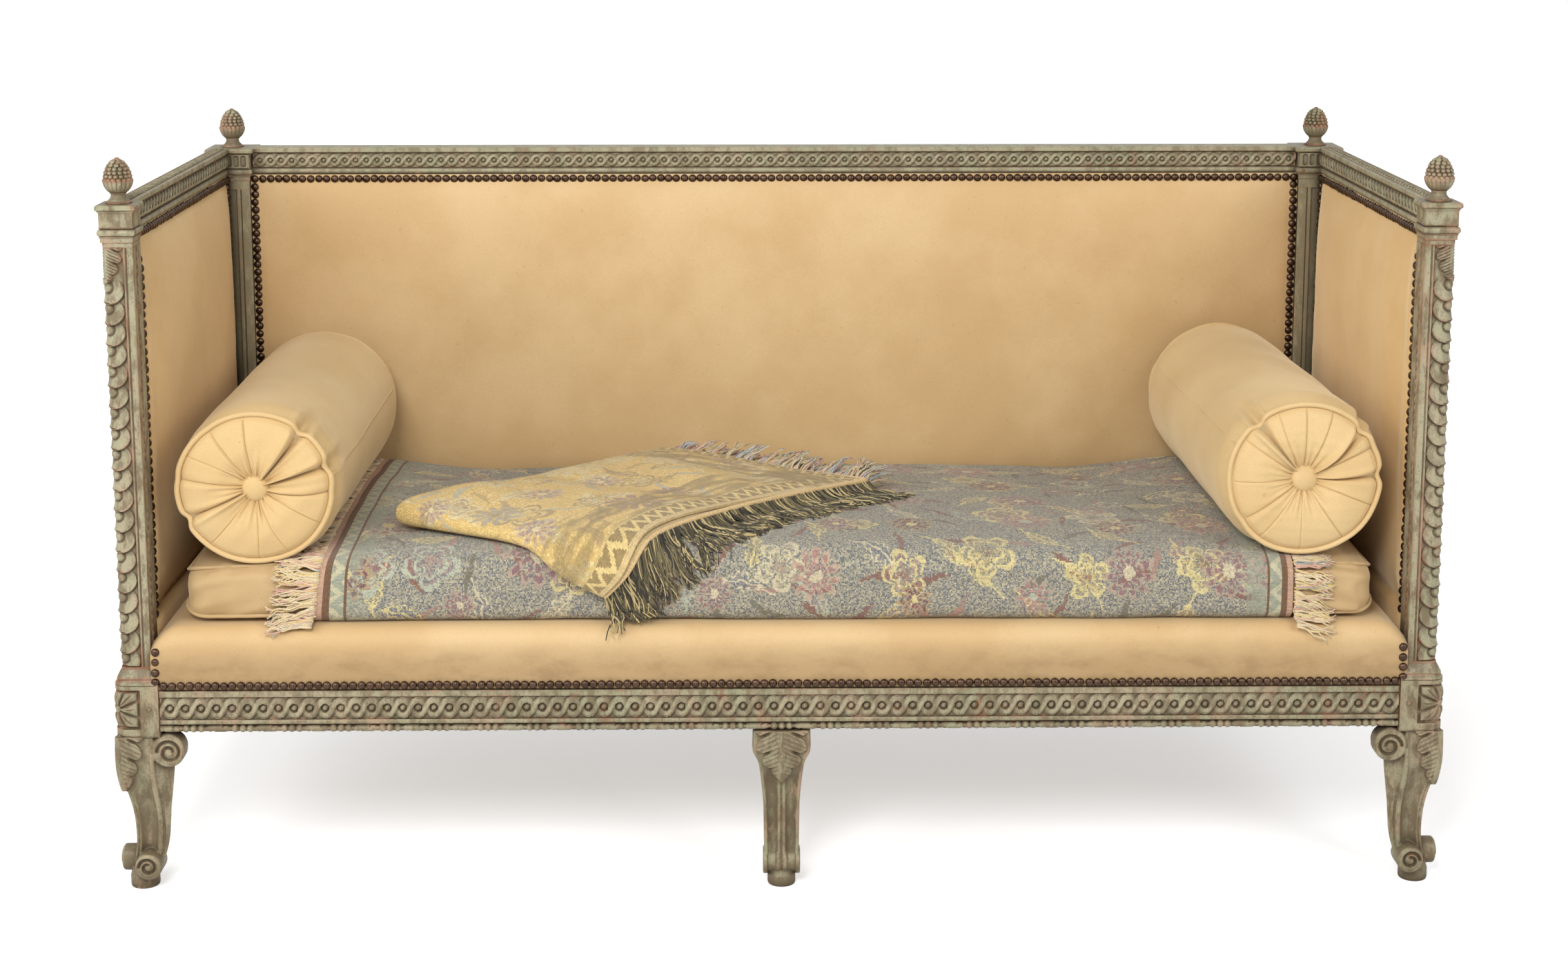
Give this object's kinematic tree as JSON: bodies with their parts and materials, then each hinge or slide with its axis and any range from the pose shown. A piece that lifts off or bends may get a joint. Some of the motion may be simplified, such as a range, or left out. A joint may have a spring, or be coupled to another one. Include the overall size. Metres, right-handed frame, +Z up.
{
  "type": "canape",
  "caption": "Carved and painted settee with closed padded sides and back on cabriole legs, with a loose seat cushion, end bolsters, a woven coverlet and a folded throw.",
  "frame": {"origin": "on the floor, under the middle of the bounding box", "axes": "+X to the sitter's left seen from the front (right in the picture), +Y to the back, +Z up"},
  "size_m": [1.905, 0.772, 1.062],
  "materials": {
    "celadon_paint": "old grey-green distemper over red-brown bole, rubbed through on the arrises",
    "bare_beech": "unfinished beech, aged",
    "golden_beige_wool": "golden beige wool satin, softly stained",
    "jute_webbing": "woven jute strap",
    "blue_grey_weave": "melange tapestry weave with small flower and leaf figures",
    "golden_yellow_weave": "golden yellow tapestry weave with small flower and leaf figures",
    "nail_bronze": "dark bronzed dome nail"
  },
  "bodies": {
    "frame": {"front_post_left": "celadon_paint", "front_post_right": "celadon_paint", "back_post_left": "celadon_paint", "back_post_right": "celadon_paint", "finial_front_left": "celadon_paint", "finial_front_right": "celadon_paint", "finial_back_left": "celadon_paint", "finial_back_right": "celadon_paint", "front_leg_left": "celadon_paint", "front_leg_centre": "celadon_paint", "front_leg_right": "celadon_paint", "back_leg_left": "celadon_paint", "back_leg_centre": "celadon_paint", "back_leg_right": "celadon_paint", "front_seat_rail": "celadon_paint", "side_seat_rail_left": "celadon_paint", "side_seat_rail_right": "celadon_paint", "back_seat_rail": "celadon_paint", "back_top_rail": "celadon_paint", "side_top_rail_left": "celadon_paint", "side_top_rail_right": "celadon_paint", "back_lower_rail": "bare_beech", "side_lower_rail_left": "bare_beech", "side_lower_rail_right": "bare_beech", "back_stile_left": "bare_beech", "back_stile_right": "bare_beech", "seat_brace_left": "bare_beech", "seat_brace_centre": "bare_beech", "seat_brace_right": "bare_beech", "seat_webbing": "jute_webbing", "seat_deck": "golden_beige_wool", "back_pad": "golden_beige_wool", "back_cover": "golden_beige_wool", "side_pad_left": "golden_beige_wool", "side_pad_right": "golden_beige_wool", "side_cover_left": "golden_beige_wool", "side_cover_right": "golden_beige_wool"},
    "seat": {"seat_cushion": "golden_beige_wool", "coverlet": "blue_grey_weave"},
    "left_bolster": {"bolster_left": "golden_beige_wool", "bolster_button_front_left": "golden_beige_wool", "bolster_button_back_left": "golden_beige_wool"},
    "right_bolster": {"bolster_right": "golden_beige_wool", "bolster_button_front_right": "golden_beige_wool", "bolster_button_back_right": "golden_beige_wool"},
    "throw": {"folded_throw": "golden_yellow_weave"}
  },
  "joints": [
    {"name": "seat_cushion_lift", "type": "slide", "parent": "frame", "child": "seat", "axis": [0, 0, 1], "range_m": [0, 0.15]},
    {"name": "bolster_left_lift", "type": "slide", "parent": "seat", "child": "left_bolster", "axis": [0, 0, 1], "range_m": [0, 0.2]},
    {"name": "bolster_right_lift", "type": "slide", "parent": "seat", "child": "right_bolster", "axis": [0, 0, 1], "range_m": [0, 0.2]},
    {"name": "folded_throw_lift", "type": "slide", "parent": "seat", "child": "throw", "axis": [0, 0, 1], "range_m": [0, 0.2]}
  ]
}
